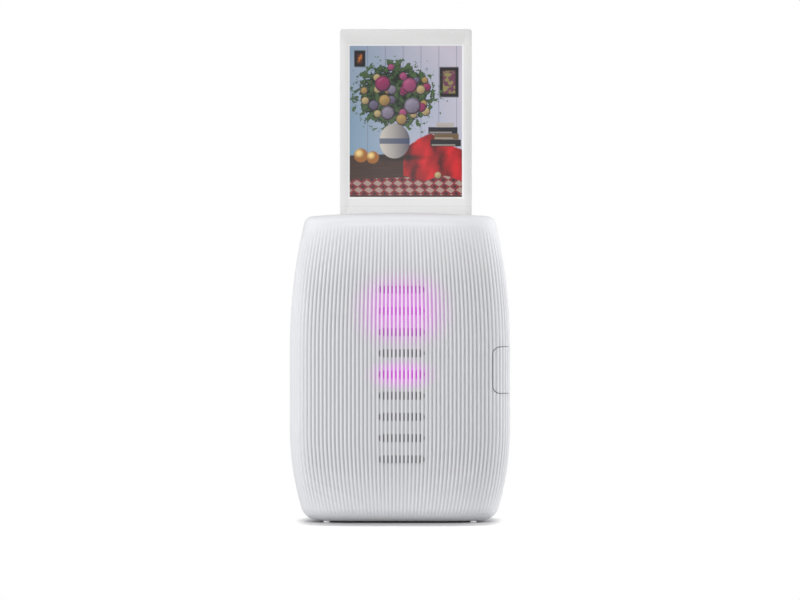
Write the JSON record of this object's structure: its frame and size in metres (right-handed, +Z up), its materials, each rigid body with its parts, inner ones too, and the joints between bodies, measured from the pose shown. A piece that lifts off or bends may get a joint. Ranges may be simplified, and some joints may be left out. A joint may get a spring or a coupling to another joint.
{
  "type": "compact photo printer",
  "caption": "Barrel-shaped upright pocket photo printer with a ribbed light casing, a hinged film door and port cover, and a print rising from its top slot.",
  "frame": {"origin": "middle of the base, on the surface that the four feet stand on", "axes": "+X to the right seen from the front, -Y the ribbed front, +Y the film door, +Z up along the print"},
  "size_m": [0.09, 0.0374, 0.2016],
  "materials": {
    "shell": "fine satin moulded, light grey white",
    "trim": "satin",
    "steel": "plain",
    "screw_steel": "blackened",
    "roller_steel": "ground",
    "motor_steel": "drawn can",
    "socket_steel": "plated",
    "foam": "soft foam strip",
    "felt": "short pile felt",
    "clear": "clear amber",
    "pad_rubber": "matt",
    "foot_rubber": "matt, light grey",
    "board": "solder mask",
    "black_plastic": "moulded",
    "dark_plastic": "moulded",
    "white_plastic": "moulded acetal",
    "diffuser": "milky, ribbed like the shell",
    "led": "milky cap",
    "lens": "rod lens array",
    "ribbon": "polyimide",
    "brass": "cut",
    "battery_foil": "foil pouch",
    "film": "smooth white print with a picture on its front"
  },
  "bodies": {
    "casing": {"front_shell": "shell", "rear_shell": "shell", "door_hinge_pin": "steel", "port_cover_pin": "steel", "feet": "foot_rubber", "shell_screws": "screw_steel", "button_board": "board", "button_switches": "black_plastic", "reset_switch": "black_plastic", "light_guide": "diffuser", "led_board": "board", "leds": "led", "chassis": "dark_plastic", "chassis_screws": "screw_steel", "print_head": "black_plastic", "lens_array": "lens", "head_ribbon": "ribbon", "roller_bushes": "white_plastic", "pinch_springs": "steel", "slot_felts": "felt", "claw_spring": "steel", "drive_motor": "motor_steel", "gear_pins": "steel", "main_board": "board", "board_parts": "black_plastic", "usb_socket": "socket_steel", "battery": "battery_foil", "pack_case": "black_plastic", "film_stack": "film", "pack_spring": "steel"},
    "film_door_body": {"film_door": "shell", "door_seal": "foam", "pack_window": "clear", "pressure_pads": "pad_rubber", "latch_spring": "steel"},
    "door_latch_body": {"door_latch": "trim"},
    "port_cover_body": {"port_cover": "shell"},
    "power_button_body": {"power_button": "trim"},
    "function_button_body": {"function_button": "trim"},
    "reset_button_body": {"reset_button": "trim"},
    "drive_roller_body": {"drive_roller": "roller_steel"},
    "pinch_roller_body": {"pinch_roller": "roller_steel"},
    "idler_gear_body": {"idler_gear": "white_plastic"},
    "reduction_gear_body": {"reduction_gear": "white_plastic"},
    "motor_pinion_body": {"motor_pinion": "brass"},
    "film_claw_body": {"film_claw": "steel"},
    "film_sheet_body": {"film_sheet": "film"}
  },
  "joints": [
    {"name": "film_door_hinge", "type": "hinge", "parent": "casing", "child": "film_door_body", "pos_m": [-0.04345, 0.01178, 0.05175], "axis": [0, 0, 1], "range_deg": [0, 110]},
    {"name": "door_latch_slide", "type": "slide", "parent": "film_door_body", "child": "door_latch_body", "axis": [-1, 0, 0], "range_m": [0, 0.001], "stiffness_N_per_m": 200, "springref_m": -0.002, "deforming": ["latch_spring"]},
    {"name": "port_cover_hinge", "type": "hinge", "parent": "casing", "child": "port_cover_body", "pos_m": [0.04392, 0.00112, 0.0621], "axis": [0, 0, 1], "range_deg": [0, 95]},
    {"name": "power_button_press", "type": "slide", "parent": "casing", "child": "power_button_body", "axis": [-1, 0, 0], "range_m": [0, 0.0005], "stiffness_N_per_m": 400, "springref_m": -0.0005},
    {"name": "function_button_press", "type": "slide", "parent": "casing", "child": "function_button_body", "axis": [-1, 0, 0], "range_m": [0, 0.0005], "stiffness_N_per_m": 400, "springref_m": -0.0005},
    {"name": "reset_button_press", "type": "slide", "parent": "casing", "child": "reset_button_body", "axis": [-1, 0, 0], "range_m": [0, 0.0005], "stiffness_N_per_m": 400, "springref_m": -0.0005},
    {"name": "drive_roller_spin", "type": "hinge", "parent": "casing", "child": "drive_roller_body", "pos_m": [0, -0.0014, 0.1165], "axis": [1, 0, 0], "continuous": true},
    {"name": "pinch_roller_spin", "type": "hinge", "parent": "casing", "child": "pinch_roller_body", "pos_m": [0, 0.0064, 0.1165], "axis": [1, 0, 0], "continuous": true},
    {"name": "idler_gear_spin", "type": "hinge", "parent": "casing", "child": "idler_gear_body", "pos_m": [-0.0335, -0.0014, 0.10591], "axis": [1, 0, 0], "continuous": true},
    {"name": "reduction_gear_spin", "type": "hinge", "parent": "casing", "child": "reduction_gear_body", "pos_m": [-0.0335, -0.00331, 0.09607], "axis": [1, 0, 0], "continuous": true},
    {"name": "motor_pinion_spin", "type": "hinge", "parent": "casing", "child": "motor_pinion_body", "pos_m": [-0.0335, -0.00736, 0.08606], "axis": [1, 0, 0], "continuous": true},
    {"name": "film_claw_slide", "type": "slide", "parent": "casing", "child": "film_claw_body", "axis": [0, 0, 1], "range_m": [0, 0.008], "stiffness_N_per_m": 10, "springref_m": -0.004, "deforming": ["claw_spring"]},
    {"name": "film_sheet_slide", "type": "slide", "parent": "casing", "child": "film_sheet_body", "axis": [0, 0, 1], "range_m": [-0.099, 0.01]}
  ],
  "couplings": [
    {"joint": "pinch_roller_spin", "follows": "drive_roller_spin", "ratio": -1},
    {"joint": "idler_gear_spin", "follows": "drive_roller_spin", "ratio": -0.58333},
    {"joint": "reduction_gear_spin", "follows": "drive_roller_spin", "ratio": 1.1667},
    {"joint": "motor_pinion_spin", "follows": "drive_roller_spin", "ratio": -3.0333}
  ]
}
